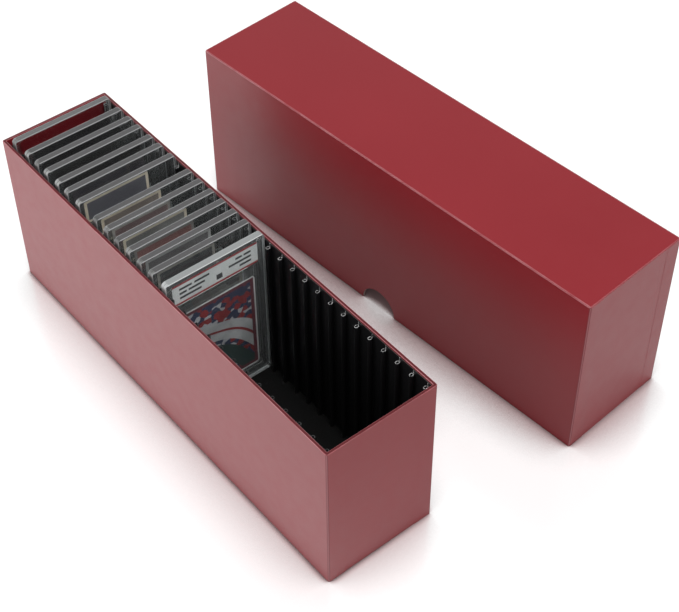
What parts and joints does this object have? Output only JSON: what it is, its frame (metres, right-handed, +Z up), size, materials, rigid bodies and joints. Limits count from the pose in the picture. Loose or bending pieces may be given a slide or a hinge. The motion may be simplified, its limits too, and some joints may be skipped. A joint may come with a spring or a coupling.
{
  "type": "graded card storage case",
  "caption": "Long box of covered board with comb racks that hold clear card slabs upright in slots, and a deep lift-off lid with thumb notches",
  "frame": {"origin": "middle of the box's underside, on the surface it stands on", "axes": "+X along the box's length towards the end with the free slots, +Y towards the lid that stands beside it, +Z up"},
  "size_m": [0.4014, 0.3001, 0.1435],
  "materials": {
    "red_cover": "satin deep red leather-look paper",
    "greyboard": "bare greyboard",
    "red_lining": "matt dark red lining paper",
    "black_plastic": "satin black extruded plastic",
    "black_liner": "matt black foam sheet",
    "clear_plastic": "clear hard plastic",
    "label_paper": "coated paper label with a plain red border",
    "card_stock": null
  },
  "bodies": {
    "box": {"box_bottom_sheet": "red_cover", "box_floor_board": "greyboard", "box_front_board": "greyboard", "box_rear_board": "greyboard", "box_left_board": "greyboard", "box_right_board": "greyboard", "box_cover": "red_cover", "box_lining": "red_lining", "floor_liner": "black_liner", "rack_front_left": "black_plastic", "rack_front_right": "black_plastic", "rack_rear_left": "black_plastic", "rack_rear_right": "black_plastic"},
    "lid": {"lid_top_board": "greyboard", "lid_front_board": "greyboard", "lid_rear_board": "greyboard", "lid_left_board": "greyboard", "lid_right_board": "greyboard", "lid_cover": "red_cover", "lid_lining": "red_lining"},
    "slab_01": {"slab_01_front_half": "clear_plastic", "slab_01_back_half": "clear_plastic"},
    "slab_02": {"slab_02_front_half": "clear_plastic", "slab_02_back_half": "clear_plastic"},
    "slab_03": {"slab_03_front_half": "clear_plastic", "slab_03_back_half": "clear_plastic"},
    "slab_04": {"slab_04_front_half": "clear_plastic", "slab_04_back_half": "clear_plastic"},
    "slab_05": {"slab_05_front_half": "clear_plastic", "slab_05_back_half": "clear_plastic"},
    "slab_06": {"slab_06_front_half": "clear_plastic", "slab_06_back_half": "clear_plastic"},
    "slab_07": {"slab_07_front_half": "clear_plastic", "slab_07_back_half": "clear_plastic"},
    "slab_08": {"slab_08_front_half": "clear_plastic", "slab_08_back_half": "clear_plastic"},
    "slab_09": {"slab_09_front_half": "clear_plastic", "slab_09_back_half": "clear_plastic"},
    "slab_10": {"slab_10_front_half": "clear_plastic", "slab_10_back_half": "clear_plastic"},
    "slab_11": {"slab_11_front_half": "clear_plastic", "slab_11_back_half": "clear_plastic"},
    "slab_12": {"slab_12_front_half": "clear_plastic", "slab_12_back_half": "clear_plastic"},
    "slab_13": {"slab_13_front_half": "clear_plastic", "slab_13_back_half": "clear_plastic"},
    "slab_14": {"slab_14_front_half": "clear_plastic", "slab_14_back_half": "clear_plastic", "slab_14_card": "card_stock", "slab_14_label": "label_paper"}
  },
  "joints": [
    {"name": "lid_lift", "type": "slide", "parent": "box", "child": "lid", "axis": [0, 0, 1], "range_m": [0, 0.16]},
    {"name": "slab_01_lift", "type": "slide", "parent": "box", "child": "slab_01", "axis": [0, 0, 1], "range_m": [0, 0.14]},
    {"name": "slab_02_lift", "type": "slide", "parent": "box", "child": "slab_02", "axis": [0, 0, 1], "range_m": [0, 0.14]},
    {"name": "slab_03_lift", "type": "slide", "parent": "box", "child": "slab_03", "axis": [0, 0, 1], "range_m": [0, 0.14]},
    {"name": "slab_04_lift", "type": "slide", "parent": "box", "child": "slab_04", "axis": [0, 0, 1], "range_m": [0, 0.14]},
    {"name": "slab_05_lift", "type": "slide", "parent": "box", "child": "slab_05", "axis": [0, 0, 1], "range_m": [0, 0.14]},
    {"name": "slab_06_lift", "type": "slide", "parent": "box", "child": "slab_06", "axis": [0, 0, 1], "range_m": [0, 0.14]},
    {"name": "slab_07_lift", "type": "slide", "parent": "box", "child": "slab_07", "axis": [0, 0, 1], "range_m": [0, 0.14]},
    {"name": "slab_08_lift", "type": "slide", "parent": "box", "child": "slab_08", "axis": [0, 0, 1], "range_m": [0, 0.14]},
    {"name": "slab_09_lift", "type": "slide", "parent": "box", "child": "slab_09", "axis": [0, 0, 1], "range_m": [0, 0.14]},
    {"name": "slab_10_lift", "type": "slide", "parent": "box", "child": "slab_10", "axis": [0, 0, 1], "range_m": [0, 0.14]},
    {"name": "slab_11_lift", "type": "slide", "parent": "box", "child": "slab_11", "axis": [0, 0, 1], "range_m": [0, 0.14]},
    {"name": "slab_12_lift", "type": "slide", "parent": "box", "child": "slab_12", "axis": [0, 0, 1], "range_m": [0, 0.14]},
    {"name": "slab_13_lift", "type": "slide", "parent": "box", "child": "slab_13", "axis": [0, 0, 1], "range_m": [0, 0.14]},
    {"name": "slab_14_lift", "type": "slide", "parent": "box", "child": "slab_14", "axis": [0, 0, 1], "range_m": [0, 0.14]}
  ]
}
